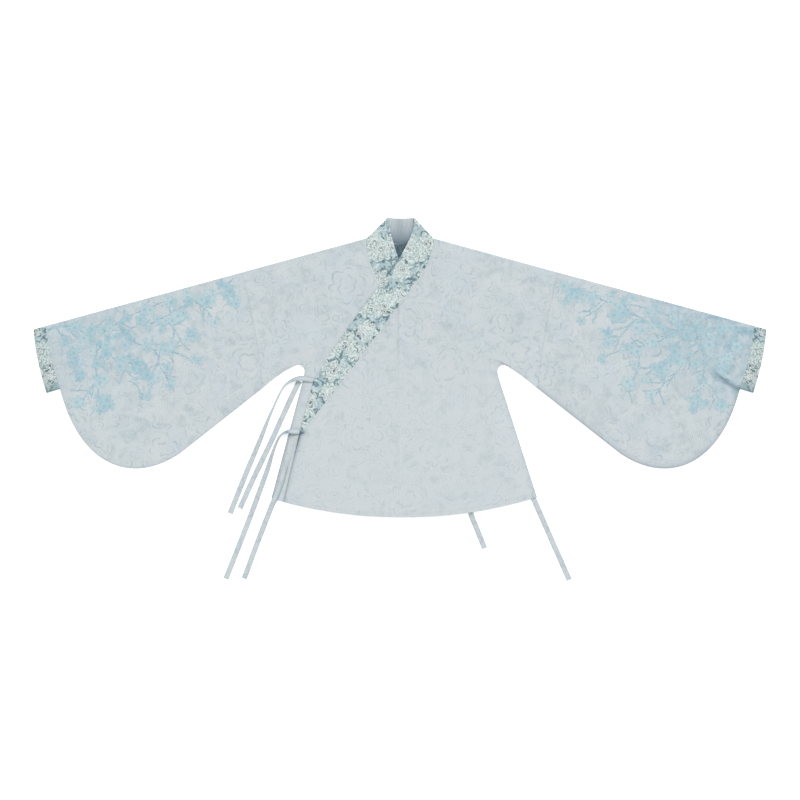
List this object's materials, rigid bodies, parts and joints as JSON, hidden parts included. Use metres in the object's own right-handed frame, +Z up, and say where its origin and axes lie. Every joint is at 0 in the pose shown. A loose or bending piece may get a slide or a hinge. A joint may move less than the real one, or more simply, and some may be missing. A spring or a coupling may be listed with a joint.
{
  "type": "short cross-collar jacket with pipa sleeves, laid flat",
  "caption": "Short Chinese cross-collar jacket with wide pipa sleeves, floral collar and cuffs, and cloth ties, laid flat with the left front over the right.",
  "frame": {"origin": "centre of the underside of the laid-out jacket, on the surface it lies on", "axes": "+X towards the wearer's left cuff, +Y towards the collar, +Z up from the surface, out of the front"},
  "size_m": [1.722, 0.854, 0.0117],
  "materials": {
    "jacquard": "soft sheen, tone-on-tone woven pattern",
    "floral_band": "matt, printed small flowers"
  },
  "bodies": {
    "root": {"body_left": "jacquard", "body_right": "jacquard", "outer_lapel": "jacquard", "inner_lapel": "jacquard", "sleeve_left": "jacquard", "sleeve_right": "jacquard", "tie_outer_upper": "jacquard", "tie_side_upper": "jacquard", "tie_outer_lower": "jacquard", "tie_side_lower": "jacquard", "tie_inner_lapel": "jacquard", "tie_inner_side": "jacquard", "collar": "floral_band", "cuff_left": "floral_band", "cuff_right": "floral_band"}
  },
  "joints": []
}
